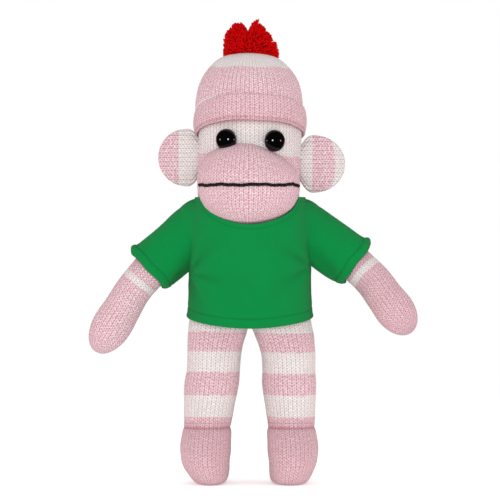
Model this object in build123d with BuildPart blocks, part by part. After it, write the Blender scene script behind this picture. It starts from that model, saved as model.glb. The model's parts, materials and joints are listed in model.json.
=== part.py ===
"""A stuffed sock monkey in a T-shirt and a bobble hat, standing on its feet and facing -Y.

Millimetres, +Z up. The origin lies on the floor, under the middle of the overall box. "Left" and
"right" are the toy's own, so left is +X. Every limb is a knitted skin round a filling, sewn to the
body at a round root, so each one is built as two solids, one inside the other, and turns about the
middle of its root.
"""

import os
from math import asin, cos, degrees, radians, sin, sqrt

from build123d import *

# Cloth, filling, thread and the clearances between pieces
KNIT = 1.6  # thickness of the knitted skin
JERSEY = 1.2  # thickness of the T-shirt's cloth
FILL_GAP = 0.3  # between pieces of one body, such as a skin and its filling
SLIP = 0.35  # between pieces that move against each other
THREAD_R = 0.8  # the sewing thread, laid as a ring of stitches

# Feet and legs
ANKLE_Z = 36.0
ANKLE_OUT = 27.6  # from the middle plane to the ankle's centre
ANKLE_R = 15.9
ANKLE_TUCK = 24.0  # degrees above level where the ankle's ball gives way to the leg, so the foot can tip
FOOT_HALF = (16.7, 28.5, 20.0)  # half width, length and height of the foot before its sole is flattened
FOOT_FORWARD = 9.0  # the foot's middle, in front of the ankle
SOLE_DEPTH = 3.0  # how much of the foot the flat sole takes off
HIP_Z = 84.0
HIP_OUT = 23.6
HIP_R = 17.2

# Torso
TORSO_HALF_WIDTH = 38.4
TORSO_HALF_DEPTH = 28.6
SEAT_ROUND = 13.0
NECK_RISE = 56.6  # from the seat to the neck's centre, which the chest and the head turn about
CHEST_R = 31.4
NECK_THREAD_RING_R = 13.0

# Arms, sleeves and shoulder threads
SHOULDER_RISE = 67.5
SHOULDER_OUT = 33.0
ARM_ROOT_R = 15.7
ARM_R = 13.0
UPPER_ARM = 51.0
FOREARM = 42.5
UPPER_DROP = {"left": 34.0, "right": 41.0}  # degrees below level
FOREARM_DROP = {"left": 54.0, "right": 58.5}
FOREARM_FORWARD = {"left": 25.0, "right": 0.0}  # degrees towards the front
ARM_LOWER = 12.0  # degrees that an arm can be pressed down from rest
SLEEVE_LENGTH = 45.0
SLEEVE_FLARE = 0.6  # how much wider the sleeve is at its hem
SHOULDER_RING_R = 9.0

# Head
HEAD_RISE = 28.0  # from the neck's centre to the underside of the jaw
HEAD_HEIGHT = 93.0
HEAD_R = 33.4
JAW_ROUND = 22.0
CROWN_ROUND = 28.0
MUZZLE_HALF = (34.2, 24.0, 26.5)
MUZZLE_DEPTH = 16.6  # how far the muzzle stands out of the face
MUZZLE_RISE = 11.0  # the mouth line, above the jaw
EYE_R = 6.7
EYE_OUT = 15.0
EYE_RISE = 40.6
SHANK_R = 2.0
SHANK_LENGTH = 9.0
SHANK_FIT = 0.15
WASHER_R = 6.5
WASHER_T = 1.2
MOUTH_R = 1.1
MOUTH_HALF = 32.0
EAR_REACH = {"left": 24.6, "right": 22.4}  # how far the ear stands out
EAR_HALF_HEIGHT = 19.0
EAR_T = 9.0
EAR_ROOT = 14.0  # half the length of the ear's seam
EAR_RISE = {"left": 24.0, "right": 28.2}
EAR_BACK = 2.0

# Hat and pompom
HAT_T = 1.7
CUFF_T = 1.7
CUFF_LOW = 47.3  # the cuff's lower edge at the sides, above the jaw
CUFF_HEIGHT = 16.5
CUFF_LAP = 5.0  # how far the crown's own edge lies above the cuff's
HAT_TILT = 11.0  # degrees that the hat is pushed back from level
POM_HALF = {"left": (9.2, 11.0, 11.8), "right": (9.2, 11.5, 12.4)}
POM_KNOT_R = 2.6

# Tail
TAIL_OUT = 14.0
TAIL_BACK = 27.0
TAIL_RISE = 8.0
TAIL_ROOT_R = 7.0
TAIL_R = 6.6
TAIL_FIRST = 18.0
TAIL_HANGING = 42.0
TAIL_START = (0.25, 0.7, -0.7)

# T-shirt edges
HEM_CURVE = 180.0  # radius of the hem's dip
HEM_SLOPE = 0.2  # how fast the hem climbs towards the back
HEM_RISE = 0.4  # the front hem's lowest point, above the seat
NECKLINE_RISE = 25.0
NECKBAND_HEIGHT = 3.4
NECKBAND_T = 1.6

# Places that follow
SEAT_Z = HIP_Z + HIP_R + SLIP
NECK_Z = SEAT_Z + NECK_RISE
NECK_SOCKET_R = CHEST_R + 2 * (SLIP + THREAD_R)
HEAD_Z = NECK_Z + HEAD_RISE
MUZZLE_Z = HEAD_Z + MUZZLE_RISE
MUZZLE_FORWARD = HEAD_R + MUZZLE_DEPTH - MUZZLE_HALF[1]  # the muzzle's middle, in front of the head's
SHOULDER_Z = SEAT_Z + SHOULDER_RISE
SLEEVE_INNER = ARM_ROOT_R + SLIP
SLEEVE_OUTER = SLEEVE_INNER + JERSEY
SHOULDER_SOCKET_R = max(SLEEVE_OUTER + SLIP, ARM_ROOT_R + 2 * (SLIP + THREAD_R))
HAT_TOP = HEAD_Z + HEAD_HEIGHT + FILL_GAP + HAT_T
TAIL_ROOT = (TAIL_OUT, TAIL_BACK, SEAT_Z + TAIL_RISE)
BIG = 400.0  # larger than the toy, for cutting
SIDES = {"left": 1, "right": -1}
made = {}


def keep(label, part):
    """Names a finished piece and remembers it for export."""
    part.label = label
    made[label] = part


def skin_and_filling(name, solid):
    """The skin of a stuffed piece and the filling in it, from a function of the inset of its shape."""
    with BuildPart() as skin:
        add(solid(0))
        add(solid(KNIT), mode=Mode.SUBTRACT)
    keep(f"{name}_skin", skin.part)
    with BuildPart() as filling:
        add(solid(KNIT + FILL_GAP))
    keep(f"{name}_filling", filling.part)


def ball(centre, radius):
    """A sphere about a point."""
    with BuildPart() as shape:
        with Locations(centre):
            Sphere(radius)
    return shape.part


def egg(centre, halves):
    """An ellipsoid about a point, from its three half sizes."""
    with BuildPart() as unit:
        Sphere(1)
        scale(by=tuple(float(half) for half in halves))
    return unit.part.moved(Location(centre))


def peg(plane, radius, length):
    """A cylinder that stands on a plane."""
    with BuildPart() as shape:
        with BuildSketch(plane):
            Circle(radius)
        extrude(amount=length)
    return shape.part


def capsule(start, direction, length, radius, end_radius, tuck=0):
    """A round limb from a ball to a ball; the first ball can reach past its middle by an angle."""
    plane = Plane(origin=start, z_dir=direction)
    side = Plane(origin=start, x_dir=plane.z_dir, z_dir=plane.x_dir)
    with BuildPart() as shape:
        with BuildSketch(side):
            with BuildLine():
                neck = (radius * sin(radians(tuck)), radius * cos(radians(tuck)))
                Line((-radius, 0), (length + end_radius, 0))
                ThreePointArc((-radius, 0), (-radius * sqrt(0.5), radius * sqrt(0.5)), neck)
                Line(neck, (length, end_radius))
                bend = end_radius * sqrt(0.5)
                ThreePointArc((length, end_radius), (length + bend, bend), (length + end_radius, 0))
            make_face()
        revolve(axis=Axis(start, direction))
    return shape.part


def along(start, direction, length):
    """The point a length away from a start."""
    end = Vector(start) + Vector(direction).normalized() * length
    return (end.X, end.Y, end.Z)


# Feet and legs


def ankle(side):
    """The middle of the ankle, which the foot turns about."""
    return (SIDES[side] * ANKLE_OUT, 0, ANKLE_Z)


def hip(side):
    """The middle of the hip, which the leg turns about."""
    return (SIDES[side] * HIP_OUT, 0, HIP_Z)


def foot_solid(side, inset):
    """A round foot with a flat sole and a cup for the leg's lower end."""
    middle = (SIDES[side] * ANKLE_OUT, -FOOT_FORWARD, FOOT_HALF[2] - SOLE_DEPTH)
    with BuildPart() as foot:
        add(egg(middle, [half - inset for half in FOOT_HALF]))
        split(bisect_by=Plane.XY.offset(inset), keep=Keep.TOP)
        add(ball(ankle(side), ANKLE_R + SLIP + inset), mode=Mode.SUBTRACT)
    return foot.part


def leg_solid(side, inset):
    """A leg from the ankle's ball to the hip's."""
    run = Vector(hip(side)) - Vector(ankle(side))
    return capsule(ankle(side), run.normalized(), run.length, ANKLE_R - inset, HIP_R - inset, ANKLE_TUCK)


# Torso, tail and T-shirt


def trunk(inset, low, rounding):
    """The torso's shape without its hollows: an oval column under a round chest."""
    with BuildPart() as column:
        with BuildSketch(Plane.XY.offset(low + inset)):
            Ellipse(TORSO_HALF_WIDTH - inset, TORSO_HALF_DEPTH - inset)
        extrude(amount=NECK_Z - low - inset)
        if rounding > 0:
            fillet(column.edges().group_by(Axis.Z)[0], rounding - inset)
        add(ball((0, 0, NECK_Z), CHEST_R - inset))
    return column.part


def shoulder(side):
    """The middle of the shoulder, which the arm turns about."""
    return (SIDES[side] * SHOULDER_OUT, 0, SHOULDER_Z)


def arm_room(side, inset):
    """The room that a sleeve needs as its arm swings and presses down: a cup that opens into a cone."""
    radius = SHOULDER_SOCKET_R + inset
    slant = radians(UPPER_DROP[side] + ARM_LOWER)
    rim = (-radius * sin(slant), radius * cos(slant))
    middle = (-radius * cos(radians(45) - slant / 2), radius * sin(radians(45) - slant / 2))
    reach = 2 * TORSO_HALF_WIDTH
    far = (rim[0] + reach * cos(slant), rim[1] + reach * sin(slant))
    outward = (SIDES[side], 0, 0)
    with BuildPart() as room:
        with BuildSketch(Plane(origin=shoulder(side), x_dir=outward, z_dir=(0, SIDES[side], 0))):
            with BuildLine():
                ThreePointArc((-radius, 0), middle, rim)
                Polyline(rim, far, (far[0], 0), (-radius, 0))
            make_face()
        revolve(axis=Axis(shoulder(side), outward))
    return room.part


def cut_for_limbs(inset):
    """Takes the arms' and the tail's room out of the piece being built."""
    for side in SIDES:
        add(arm_room(side, inset), mode=Mode.SUBTRACT)
    add(ball(TAIL_ROOT, TAIL_ROOT_R + SLIP + inset), mode=Mode.SUBTRACT)


def torso_solid(inset):
    """The torso, hollowed for the arms and the tail."""
    with BuildPart() as torso:
        add(trunk(inset, SEAT_Z, SEAT_ROUND))
        cut_for_limbs(inset)
    return torso.part


def tail_solid(inset):
    """A tail that leaves the seat slanting back, then hangs."""
    turn = along(TAIL_ROOT, TAIL_START, TAIL_FIRST)
    with BuildPart() as tail:
        add(capsule(TAIL_ROOT, TAIL_START, TAIL_FIRST, TAIL_ROOT_R - inset, TAIL_R - 3 * FILL_GAP - inset))
        add(capsule(turn, (0, 0, -1), TAIL_HANGING, TAIL_R - inset, TAIL_R - inset))
    return tail.part


def shirt_body():
    """The T-shirt's front and back as one tube, with armholes and a hem that dips in front."""
    low = SEAT_Z + HEM_RISE
    climb = Vector(0, 1, HEM_SLOPE).normalized()
    dip = (0, -TORSO_HALF_DEPTH, low + HEM_CURVE)
    with BuildPart() as shirt:
        add(trunk(-FILL_GAP - JERSEY, low - HIP_R, 0))
        add(trunk(-FILL_GAP, low - HIP_R, 0), mode=Mode.SUBTRACT)
        split(bisect_by=Plane.XY.offset(NECK_Z + NECKLINE_RISE), keep=Keep.BOTTOM)
        with BuildSketch(Plane(origin=dip, z_dir=climb)):
            Circle(HEM_CURVE)
        extrude(amount=BIG, both=True, mode=Mode.INTERSECT)
        cut_for_limbs(0)
    keep("shirt_body", shirt.part)


def shirt_neckband():
    """The band round the T-shirt's neck."""
    with BuildPart() as band:
        add(ball((0, 0, NECK_Z), CHEST_R + FILL_GAP + NECKBAND_T))
        add(ball((0, 0, NECK_Z), CHEST_R + FILL_GAP), mode=Mode.SUBTRACT)
        split(bisect_by=Plane.XY.offset(NECK_Z + NECKLINE_RISE), keep=Keep.TOP)
        split(bisect_by=Plane.XY.offset(NECK_Z + NECKLINE_RISE + NECKBAND_HEIGHT), keep=Keep.BOTTOM)
        for side in SIDES:
            add(ball(shoulder(side), ARM_ROOT_R + SLIP), mode=Mode.SUBTRACT)
    keep("shirt_neckband", band.part)


# Arms and sleeves


def arm_solid(side, inset):
    """An arm with a round root, bent at the elbow."""
    drop, fore = radians(UPPER_DROP[side]), radians(FOREARM_DROP[side])
    forward = radians(FOREARM_FORWARD[side])
    upper = (SIDES[side] * cos(drop), 0, -sin(drop))
    lower = (SIDES[side] * cos(fore) * cos(forward), -sin(forward), -sin(fore) * cos(forward))
    elbow = along(shoulder(side), upper, UPPER_ARM)
    with BuildPart() as arm:
        add(capsule(shoulder(side), upper, UPPER_ARM, ARM_ROOT_R - inset, ARM_R - FILL_GAP - inset))
        add(capsule(elbow, lower, FOREARM, ARM_R - inset, ARM_R - inset))
    return arm.part


def sleeve(side):
    """A short sleeve round the upper arm, a little wider at its hem."""
    drop = radians(UPPER_DROP[side])
    start = Plane(origin=shoulder(side), z_dir=(SIDES[side] * cos(drop), 0, -sin(drop)))
    with BuildPart() as tube:
        for radius, mode in ((SLEEVE_OUTER, Mode.ADD), (SLEEVE_INNER, Mode.SUBTRACT)):
            with BuildSketch(start):
                Circle(radius)
            with BuildSketch(start.offset(SLEEVE_LENGTH)):
                Circle(radius + SLEEVE_FLARE)
            loft(mode=mode)
    keep(f"sleeve_{side}", tube.part)


def thread_ring(label, centre, ball_r, ring_r, direction):
    """A ring of stitches that lies on a round root, on the side that faces a direction."""
    middle = along(centre, direction, sqrt((ball_r + SLIP + THREAD_R) ** 2 - ring_r**2))
    with BuildPart() as ring:
        with Locations(Plane(origin=middle, z_dir=direction)):
            Torus(ring_r, THREAD_R)
    keep(label, ring.part)


# Head


def head_block(inset):
    """The head's shape without its neck: a round column with a rounded jaw and crown."""
    with BuildPart() as column:
        with BuildSketch(Plane.XY.offset(HEAD_Z + inset)):
            Circle(HEAD_R - inset)
        extrude(amount=HEAD_HEIGHT - 2 * inset)
        fillet(column.edges().group_by(Axis.Z)[0], JAW_ROUND - inset)
        fillet(column.edges().group_by(Axis.Z)[-1], CROWN_ROUND - inset)
    return column.part


def neck_room(inset):
    """The ball of room that the chest and the neck's thread take under the head."""
    return ball((0, 0, NECK_Z), NECK_SOCKET_R + inset)


def eye_plane(side, radius):
    """A plane that faces out of the head through an eye, at a distance from the head's middle."""
    turn = asin(EYE_OUT / HEAD_R)
    out = (SIDES[side] * sin(turn), -cos(turn), 0)
    return Plane(origin=(out[0] * radius, out[1] * radius, HEAD_Z + EYE_RISE), z_dir=out)


def washer_depth():
    """How far from the head's middle a flat washer's outer face can lie behind the curved skin."""
    return sqrt((HEAD_R - KNIT - FILL_GAP) ** 2 - WASHER_R**2)


def head_pieces():
    """The head's skin and filling, with holes for the eyes' shanks and pockets for their washers."""
    with BuildPart() as hollow:
        add(head_block(KNIT))
        add(neck_room(KNIT), mode=Mode.SUBTRACT)
    with BuildPart() as skin:
        add(head_block(0))
        add(neck_room(0), mode=Mode.SUBTRACT)
        add(hollow.part, mode=Mode.SUBTRACT)
        for side in SIDES:
            add(peg(eye_plane(side, 0), SHANK_R + SHANK_FIT, BIG), mode=Mode.SUBTRACT)
    keep("head_skin", skin.part)
    pocket = washer_depth() - WASHER_T - FILL_GAP
    with BuildPart() as filling:
        add(head_block(KNIT + FILL_GAP))
        add(neck_room(KNIT + FILL_GAP), mode=Mode.SUBTRACT)
        for side in SIDES:
            shank_end = HEAD_R - SHANK_LENGTH
            add(peg(eye_plane(side, shank_end), SHANK_R + FILL_GAP, BIG), mode=Mode.SUBTRACT)
            add(peg(eye_plane(side, pocket), WASHER_R + FILL_GAP, BIG), mode=Mode.SUBTRACT)
    keep("head_filling", filling.part)


def muzzle_solid(inset):
    """The stuffed muzzle, which lies against the face and the jaw."""
    with BuildPart() as muzzle:
        add(egg((0, -MUZZLE_FORWARD, MUZZLE_Z), [half - inset for half in MUZZLE_HALF]))
        add(head_block(-FILL_GAP - inset), mode=Mode.SUBTRACT)
        add(neck_room(inset), mode=Mode.SUBTRACT)
        for side in SIDES:
            eye_middle = eye_plane(side, HEAD_R + FILL_GAP).origin
            add(ball(eye_middle, EYE_R + FILL_GAP + inset), mode=Mode.SUBTRACT)
    return muzzle.part


def mouth():
    """One strand of yarn across the muzzle."""
    lift = MOUTH_R + FILL_GAP
    wide, deep = MUZZLE_HALF[0] + lift, MUZZLE_HALF[1] + lift
    end = degrees(asin(sqrt(1 - (MOUTH_HALF / wide) ** 2)))
    with BuildPart() as yarn:
        with BuildLine(Plane.XY.offset(MUZZLE_Z)) as path:
            EllipticalCenterArc((0, -MUZZLE_FORWARD), wide, deep, 180 + end, arc_size=180 - 2 * end)
        with BuildSketch(Plane(origin=path.line @ 0, z_dir=path.line % 0)):
            Circle(MOUTH_R)
        sweep()
    keep("mouth_yarn", yarn.part)


def eye(side):
    """A domed eye with its shank, and the washer that locks it behind the skin."""
    face = eye_plane(side, HEAD_R + FILL_GAP)
    with BuildPart() as bead:
        with Locations(face):
            Sphere(EYE_R)
        split(bisect_by=face, keep=Keep.TOP)
        with BuildSketch(face):
            Circle(SHANK_R)
        extrude(amount=-SHANK_LENGTH)
    keep(f"eye_{side}", bead.part)
    with BuildPart() as washer:
        with BuildSketch(eye_plane(side, washer_depth() - WASHER_T)):
            Circle(WASHER_R)
            Circle(SHANK_R + SHANK_FIT, mode=Mode.SUBTRACT)
        extrude(amount=WASHER_T)
    keep(f"eye_washer_{side}", washer.part)


def ear_hinge(side):
    """The middle of the ear's seam, which the ear folds about."""
    reach = sqrt((HEAD_R + SLIP + EAR_T / 2) ** 2 - EAR_BACK**2)
    return (SIDES[side] * reach, EAR_BACK, HEAD_Z + EAR_RISE[side])


def ear_solid(side, inset):
    """Half of a flat padded oval, rolled at its seam."""
    x, y, z = ear_hinge(side)
    seam = Plane(origin=(x, y, z), z_dir=(SIDES[side], 0, 0))
    with BuildPart() as ear:
        add(egg((x, y, z), (EAR_REACH[side] - inset, EAR_T / 2 - inset, EAR_HALF_HEIGHT - inset)))
        split(bisect_by=seam, keep=Keep.TOP)
        with BuildSketch(Plane(origin=(x, y, z))):
            Circle(EAR_T / 2 - inset)
        extrude(amount=EAR_ROOT - inset, both=True)
    return ear.part


# Hat


def hat_plane(rise):
    """The hat's tilted plane at a height above the cuff's lower edge."""
    tilt = radians(HAT_TILT)
    return Plane(origin=(0, 0, HEAD_Z + CUFF_LOW), z_dir=(0, sin(tilt), cos(tilt))).offset(rise)


def hat():
    """The knitted crown and the turned-up cuff round it."""
    with BuildPart() as crown:
        add(head_block(-FILL_GAP - HAT_T))
        add(head_block(-FILL_GAP), mode=Mode.SUBTRACT)
        split(bisect_by=hat_plane(CUFF_LAP), keep=Keep.TOP)
    keep("hat_crown", crown.part)
    with BuildPart() as cuff:
        add(head_block(-2 * FILL_GAP - HAT_T - CUFF_T))
        add(head_block(-2 * FILL_GAP - HAT_T), mode=Mode.SUBTRACT)
        split(bisect_by=hat_plane(0), keep=Keep.TOP)
        split(bisect_by=hat_plane(CUFF_HEIGHT), keep=Keep.BOTTOM)
    keep("hat_cuff", cuff.part)


def pompom():
    """Two puffs of yarn, tied in the middle with a knot that sits on the hat."""
    knot = (0, 0, HAT_TOP + FILL_GAP + POM_KNOT_R)
    keep("pompom_knot", ball(knot, POM_KNOT_R))
    for side, sign in SIDES.items():
        wide, deep, high = POM_HALF[side]
        with BuildPart() as puff:
            add(egg((sign * (wide + FILL_GAP / 2), 0, HAT_TOP + high), (wide, deep, high)))
            add(head_block(-2 * FILL_GAP - HAT_T), mode=Mode.SUBTRACT)
            add(ball(knot, POM_KNOT_R + FILL_GAP), mode=Mode.SUBTRACT)
        keep(f"pompom_puff_{side}", puff.part)


def build():
    """Makes every piece, then moves the toy so that the middle of its box is over the origin."""
    skin_and_filling("torso", torso_solid)
    skin_and_filling("tail", tail_solid)
    shirt_body()
    shirt_neckband()
    for side in SIDES:
        skin_and_filling(f"foot_{side}", lambda inset, side=side: foot_solid(side, inset))
        skin_and_filling(f"leg_{side}", lambda inset, side=side: leg_solid(side, inset))
        skin_and_filling(f"arm_{side}", lambda inset, side=side: arm_solid(side, inset))
        sleeve(side)
        inward = (-SIDES[side], 0, 0)
        thread_ring(f"shoulder_thread_{side}", shoulder(side), ARM_ROOT_R, SHOULDER_RING_R, inward)
        skin_and_filling(f"ear_{side}", lambda inset, side=side: ear_solid(side, inset))
        eye(side)
    thread_ring("neck_thread", (0, 0, NECK_Z), CHEST_R, NECK_THREAD_RING_R, (0, 0, 1))
    head_pieces()
    skin_and_filling("muzzle", muzzle_solid)
    mouth()
    hat()
    pompom()


build()
middle = Compound(list(made.values())).bounding_box().center()
shift = (-middle.X, -middle.Y, 0)
os.makedirs("parts", exist_ok=True)
for label, part in made.items():
    placed = part.moved(Location(shift))
    placed.label = label
    export_step(placed, f"parts/{label}.step")
print("moved by", [round(value, 3) for value in shift])
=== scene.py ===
"""The looks of a stuffed sock monkey in a T-shirt and a bobble hat: knitted skins, jersey, yarn and eyes."""

import json
from math import atan2, cos, degrees, pi, radians, sin, sqrt

import bpy
import numpy as np
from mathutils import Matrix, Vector


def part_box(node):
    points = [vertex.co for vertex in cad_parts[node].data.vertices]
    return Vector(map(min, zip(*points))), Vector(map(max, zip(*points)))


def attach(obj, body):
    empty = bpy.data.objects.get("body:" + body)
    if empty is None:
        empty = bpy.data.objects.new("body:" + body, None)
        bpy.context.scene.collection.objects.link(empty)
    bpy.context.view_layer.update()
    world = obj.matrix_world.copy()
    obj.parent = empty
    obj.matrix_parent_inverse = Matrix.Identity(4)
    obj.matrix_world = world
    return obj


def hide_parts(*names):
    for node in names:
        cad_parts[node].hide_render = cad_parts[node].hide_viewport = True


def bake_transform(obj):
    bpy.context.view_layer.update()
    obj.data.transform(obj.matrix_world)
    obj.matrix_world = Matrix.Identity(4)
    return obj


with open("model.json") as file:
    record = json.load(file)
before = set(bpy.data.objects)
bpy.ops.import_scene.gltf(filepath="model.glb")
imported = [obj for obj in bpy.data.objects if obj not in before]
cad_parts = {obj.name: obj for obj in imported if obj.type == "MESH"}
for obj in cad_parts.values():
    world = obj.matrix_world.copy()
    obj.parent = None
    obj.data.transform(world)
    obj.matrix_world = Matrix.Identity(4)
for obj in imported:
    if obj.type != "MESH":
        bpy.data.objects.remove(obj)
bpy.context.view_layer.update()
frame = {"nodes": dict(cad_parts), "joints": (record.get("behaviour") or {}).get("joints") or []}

MM = 0.001  # one millimetre in the scene's units; every size and place below is in millimetres

# Knit and yarn
WALE = 2.9  # width of one column of stitches
COURSE = 1.92  # height of one row of stitches
STEPS = 8  # mesh columns in one column of stitches
RIDGE = 0.2  # how far a column of stitches stands out
LUMP_SIZE = 14.0  # how far apart the filling's lumps are

# The camera
CAMERA_DISTANCE = 2000.0
VIEW_WIDTH = 329.9  # what the picture is wide, at the toy
VIEW_MIDDLE = 153.3  # the height that the camera looks at
SENSOR = 36.0

joints = {joint["name"]: np.array(joint["pos_m"]) / MM for joint in frame["joints"]}
NECK = joints["head_turn"]
MIDDLE = np.array([NECK[0], NECK[1], 0.0])
SIDES = {"left": 1, "right": -1}


def low(node):
    """A node's lowest corner."""
    return np.array(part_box(node)[0]) / MM


def high(node):
    """A node's highest corner."""
    return np.array(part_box(node)[1]) / MM


def curve(points, places):
    """Values at some places of a smooth curve through (place, value) points."""
    xs = np.array([point[0] for point in points], float)
    ys = np.array([point[1] for point in points], float)
    slopes = np.diff(ys) / np.diff(xs)
    tangents = np.zeros(len(xs))
    tangents[0], tangents[-1] = slopes[0], slopes[-1]
    for i in range(1, len(xs) - 1):
        if slopes[i - 1] * slopes[i] > 0:
            tangents[i] = 2 * slopes[i - 1] * slopes[i] / (slopes[i - 1] + slopes[i])
    places = np.clip(np.asarray(places, float), xs[0], xs[-1])
    k = np.clip(np.searchsorted(xs, places) - 1, 0, len(xs) - 2)
    step = xs[k + 1] - xs[k]
    t = (places - xs[k]) / step
    return (ys[k] * (2 * t**3 - 3 * t**2 + 1) + tangents[k] * step * (t**3 - 2 * t**2 + t)
            + ys[k + 1] * (3 * t**2 - 2 * t**3) + tangents[k + 1] * step * (t**3 - t**2))


def ramp(values, start, end):
    """0 before start, 1 after end, and a smooth rise between."""
    t = np.clip((np.asarray(values, float) - start) / (end - start), 0, 1)
    return t * t * (3 - 2 * t)


def bell(values, width):
    """1 at 0, falling smoothly to either side within a few widths."""
    return np.exp(-((values / width) ** 2))


def turns(count):
    """Angles that divide a whole turn evenly."""
    return 2 * pi * np.arange(count) / count


def unit(vectors):
    """Rows of vectors, each made one long."""
    return vectors / np.linalg.norm(vectors, axis=-1, keepdims=True)


def lengths_along(path):
    """How far along a path each of its points lies."""
    return np.concatenate([[0], np.cumsum(np.linalg.norm(np.diff(path, axis=0), axis=1))])


def closed(values):
    """A grid whose first column comes again at its end."""
    return np.concatenate([values, values[:, :1]], 1)


def band(values, start, end, soft):
    """1 from start to end, and 0 outside, with soft edges."""
    return ramp(values, start - soft, start + soft) * (1 - ramp(values, end - soft, end + soft))


def lumps(points, size, amount, seed=0.0):
    """A gentle unevenness, from a few waves that cross."""
    x, y, z = (points[..., i] / size for i in range(3))
    wave = np.sin(x * 1.7 + y * 0.6 + seed) * np.cos(z * 1.3 + seed * 1.7) + np.sin(z * 2.1 + x * 0.9 - seed) * 0.6
    return amount * (wave + np.sin(y * 2.3 - z * 1.1 + seed * 0.4) * 0.5) / 2


def wale_profile(u):
    """How far the knit stands out across a column of stitches: two legs of yarn and a dip to the next column."""
    a = np.abs(u - np.floor(u) - 0.5) * 2
    return RIDGE * (1 - a**3 - 0.2 * bell(a, 0.25))


def link(name, mesh):
    """A mesh as an object in the scene."""
    piece = bpy.data.objects.new(name, mesh)
    bpy.context.scene.collection.objects.link(piece)
    return piece


def paint(white=0.0, tone=0.0, shade=0.0):
    """What the knit's material reads at each point: how white it is, how deep its pink, and how much painted shade
    darkens it.
    """
    return {"white": white, "tone": tone, "shade": shade}


def grid_mesh(name, points, uv, data, wrap=True, caps=(False, False), flip=False):
    """A mesh on a grid of points, whose rows may close into rings and whose end rings may be capped."""
    rows, cols = points.shape[:2]
    across = cols if wrap else cols - 1
    r, c = np.meshgrid(np.arange(rows - 1), np.arange(across), indexing="ij")
    r, c = r.ravel(), c.ravel()
    n = (c + 1) % cols
    corners = [r * cols + c, (r + 1) * cols + c, (r + 1) * cols + n, r * cols + n]
    places = [(r, c), (r + 1, c), (r + 1, c + 1), (r, c + 1)]
    if flip:
        corners.reverse()
        places.reverse()
    quads = np.stack(corners, 1)
    loop_uv = np.stack([uv[row, col] for row, col in places], 1).reshape(-1, 2)
    loop_vertex = quads.ravel()
    starts = np.arange(0, len(loop_vertex), 4)
    for end, wanted in enumerate(caps):
        if wanted:
            ring = np.arange(cols) + (rows - 1) * cols * end
            order = ring if bool(end) == flip else ring[::-1]
            starts = np.append(starts, len(loop_vertex))
            loop_vertex = np.append(loop_vertex, order)
            loop_uv = np.vstack([loop_uv, uv[(rows - 1) * end, order - (rows - 1) * cols * end]])
    mesh = bpy.data.meshes.new(name)
    mesh.vertices.add(rows * cols)
    mesh.vertices.foreach_set("co", (points.reshape(-1, 3) * MM).astype(np.float32).ravel())
    mesh.loops.add(len(loop_vertex))
    mesh.loops.foreach_set("vertex_index", loop_vertex.astype(np.int32))
    mesh.polygons.add(len(starts))
    mesh.polygons.foreach_set("loop_start", starts.astype(np.int32))
    mesh.uv_layers.new(name="UVMap").data.foreach_set("uv", loop_uv.astype(np.float32).ravel())
    mesh.update(calc_edges=True)
    mesh.validate()
    for key, values in data.items():
        values = np.asarray(values, float)
        if values.ndim == 1:
            values = values[:, None]
        full = np.broadcast_to(values, (rows, cols)).astype(np.float32)
        mesh.attributes.new(key, "FLOAT", "POINT").data.foreach_set("value", full.ravel())
    mesh.shade_smooth()
    return link(name, mesh)


def dress(piece, material):
    """Gives a piece its material."""
    piece.data.materials.append(material)
    return piece


def knit_rings(name, centres, across, deep, wide, thick, wales, data, shape=2.0, lump=0.35, seed=0.0):
    """A knitted tube with closed ends, through rings: their middles, two directions, and half sizes along those.
    Columns of stitches run along it, and the first column is at the first direction."""
    cols = wales * STEPS
    angle = turns(cols)
    ca, sa = np.cos(angle), np.sin(angle)
    ex, ey = np.sign(ca) * np.abs(ca) ** (2 / shape), np.sign(sa) * np.abs(sa) ** (2 / shape)
    out = across[:, None] * (wide[:, None] * ex)[..., None] + deep[:, None] * (thick[:, None] * ey)[..., None]
    outward = out / np.maximum(np.linalg.norm(out, axis=2, keepdims=True), 1e-6)
    points = centres[:, None] + out
    u = np.broadcast_to(np.arange(cols + 1) / STEPS, (len(centres), cols + 1))
    fade = np.clip(np.minimum(wide, thick) / (wales * WALE / (2 * pi)), 0, 1)[:, None]
    points = points + outward * ((wale_profile(u[:, :-1]) * fade + lumps(points, LUMP_SIZE, lump, seed))[..., None])
    steps = np.linalg.norm(np.diff(points, axis=0), axis=2).mean(1)
    v = np.concatenate([[0.0], np.cumsum(steps)]) / COURSE
    uv = np.stack([u, np.broadcast_to(v[:, None], u.shape)], 2)
    return grid_mesh(name, points, uv, data, caps=(True, True))


# Materials


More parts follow.
